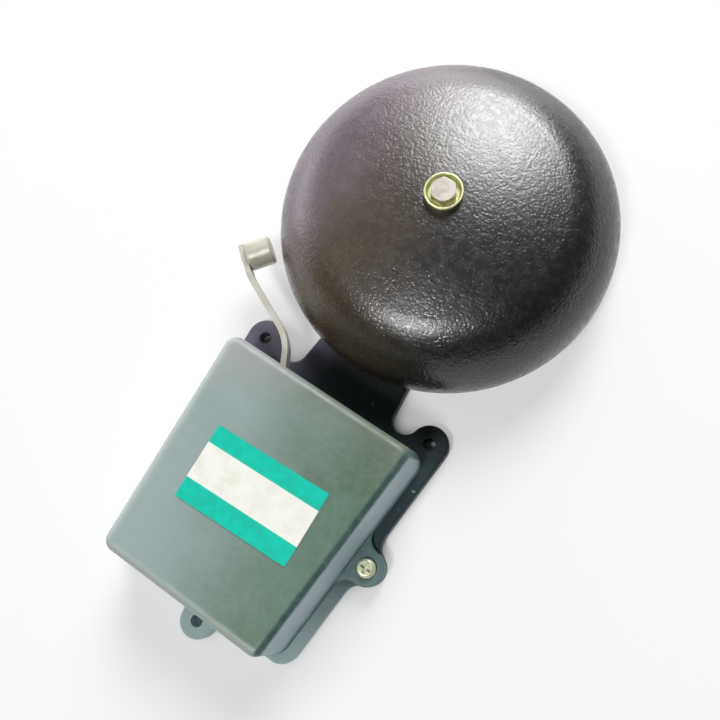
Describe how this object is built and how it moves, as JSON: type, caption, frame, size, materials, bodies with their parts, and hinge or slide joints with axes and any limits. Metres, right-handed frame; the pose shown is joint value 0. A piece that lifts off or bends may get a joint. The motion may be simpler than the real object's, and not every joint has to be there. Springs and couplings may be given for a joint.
{
  "type": "electric bell",
  "caption": "Wall-mounted electric bell: domed gong on a cast plate, covered electromagnet whose spring-hinged armature swings a bent strip with a hammer at the rim.",
  "frame": {"origin": "on the plate's back face, midway between the two ear holes beside the gong", "axes": "+Z out of the wall, +Y from the gong towards the cover, hammer on the +X side"},
  "size_m": [0.15, 0.2878, 0.0628],
  "materials": {
    "cast_base": "rough sand casting, dark paint",
    "cover_paint": "semi-gloss paint",
    "gong_enamel": "gloss, fine hammer texture",
    "zinc_plate": "bright zinc with a yellow tint",
    "strip_steel": "plain drawn steel",
    "hammer_steel": "turned, dull nickel plate",
    "spring_steel": "tempered, bluish",
    "core_steel": "stacked sheet edges",
    "coil_wire": "enamelled copper wire",
    "bobbin_plastic": "moulded",
    "terminal_plastic": "moulded",
    "terminal_brass": "turned",
    "wire_sleeve": "soft insulation",
    "packing_fibre": "pressed fibre",
    "grommet_rubber": "moulded",
    "label_face": "printed colour bands, no text"
  },
  "bodies": {
    "base": {"base_plate": "cast_base", "cover": "cover_paint", "cover_screw": "zinc_plate", "label_plate": "label_face", "cable_grommet": "grommet_rubber", "gong": "gong_enamel", "gong_post": "zinc_plate", "gong_packing_washer": "packing_fibre", "gong_cup_washer": "zinc_plate", "gong_bolt": "zinc_plate", "spring_post": "zinc_plate", "spring_post_screw": "zinc_plate", "spring_clamp": "zinc_plate", "clamp_screws": "zinc_plate", "magnet_core": "core_steel", "core_bracket": "zinc_plate", "core_screws": "zinc_plate", "core_nuts": "zinc_plate", "bracket_screws": "zinc_plate", "bobbin_right": "bobbin_plastic", "bobbin_left": "bobbin_plastic", "winding_right": "coil_wire", "winding_left": "coil_wire", "coil_link_wire": "wire_sleeve", "lead_wire_right": "wire_sleeve", "lead_wire_left": "wire_sleeve", "stop_bracket": "zinc_plate", "stop_bracket_screw": "zinc_plate", "stop_locknut": "terminal_brass", "terminal_block": "terminal_plastic", "terminal_block_screw": "zinc_plate", "terminal_tubes": "terminal_brass", "terminal_screws": "zinc_plate", "earth_screw": "terminal_brass", "earth_washer": "terminal_brass"},
    "striker": {"striker_arm": "strip_steel", "hammer_head": "hammer_steel", "hammer_rivet": "hammer_steel", "arm_rivets": "hammer_steel", "armature": "core_steel", "leaf_spring": "spring_steel"},
    "stop_screw": {"stop_screw": "terminal_brass"}
  },
  "joints": [
    {"name": "striker_swing", "type": "hinge", "parent": "base", "child": "striker", "pos_m": [0.027, 0.02425, 0.0245], "axis": [0, 0, -1], "range_deg": [0, 3], "stiffness_Nm_per_rad": 2.7, "deforming": ["leaf_spring"]},
    {"name": "stop_screw_travel", "type": "slide", "parent": "base", "child": "stop_screw", "axis": [0, 1, 0], "range_m": [-0.002, 0]}
  ]
}
